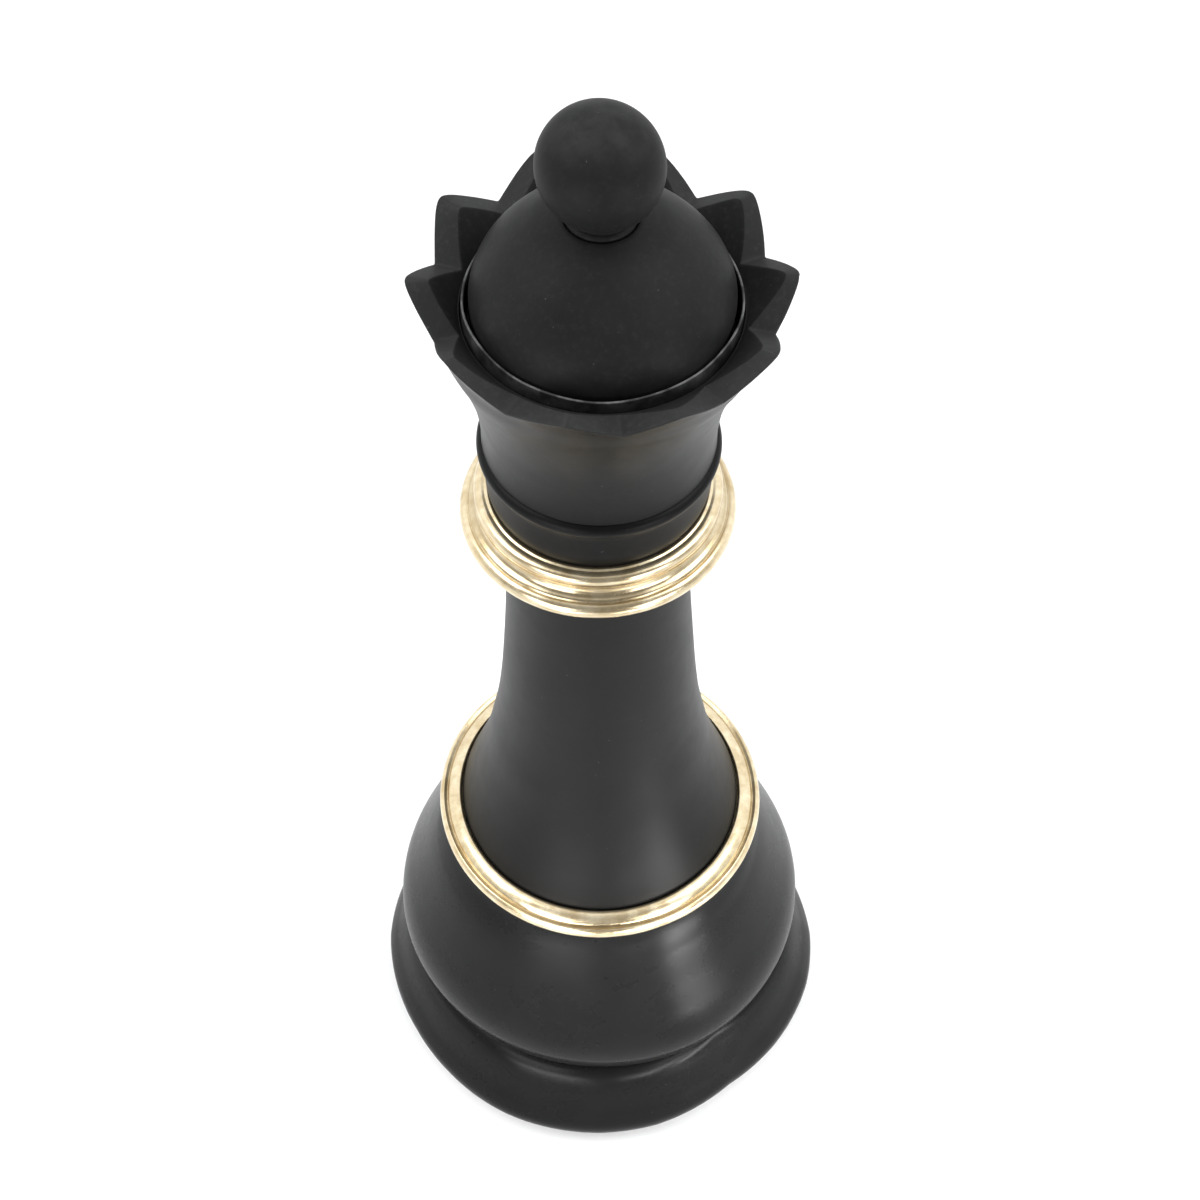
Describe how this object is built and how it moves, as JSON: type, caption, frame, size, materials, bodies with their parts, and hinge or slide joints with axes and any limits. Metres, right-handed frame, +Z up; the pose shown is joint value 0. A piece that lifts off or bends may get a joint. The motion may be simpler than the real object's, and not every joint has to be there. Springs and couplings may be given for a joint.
{
  "type": "chess queen",
  "caption": "Tall ornamental chess queen: round plinth, bulb, concave stem, two gilt rings, pointed coronet and a lift-out domed cap with a ball finial.",
  "frame": {"origin": "centre of the base pad's underside, on the surface that the piece stands on", "axes": "+Z up along the piece from base to ball; -Y is the front, the side whose nearest coronet point stands 10 degrees to the left of it seen from the front"},
  "size_m": [0.1846, 0.1846, 0.494],
  "materials": {
    "black_cast": "satin black paint over cast resin, slightly chalky on the crown",
    "gilt_cast": "satin champagne-gold metallic paint over cast resin, lightly brushed",
    "zinc_steel": "satin zinc plate",
    "ballast_iron": "matte as cast",
    "base_wood": "matte fibreboard",
    "pad_felt": "matte pressed felt",
    "seal_rubber": "matte"
  },
  "bodies": {
    "queen_body": {"base_pad": "pad_felt", "base_board": "base_wood", "board_screw_1": "zinc_steel", "board_screw_2": "zinc_steel", "board_screw_3": "zinc_steel", "board_screw_4": "zinc_steel", "base_plinth": "black_cast", "ballast_ring": "ballast_iron", "bulb_body": "black_cast", "lower_gilt_ring": "gilt_cast", "stem": "black_cast", "upper_gilt_collar": "gilt_cast", "neck_band": "black_cast", "neck_bead": "black_cast", "coronet": "black_cast", "socket_ring": "black_cast", "tie_rod": "zinc_steel", "bottom_washer": "zinc_steel", "bottom_nut": "zinc_steel", "top_washer": "zinc_steel", "top_nut": "zinc_steel"},
    "crown_cap": {"crown_dome": "black_cast", "cap_seal": "seal_rubber", "finial_bead": "black_cast", "finial_ball": "black_cast", "finial_screw": "zinc_steel"}
  },
  "joints": [
    {"name": "crown_cap_lift", "type": "slide", "parent": "queen_body", "child": "crown_cap", "axis": [0, 0, 1], "range_m": [0, 0.06]}
  ]
}
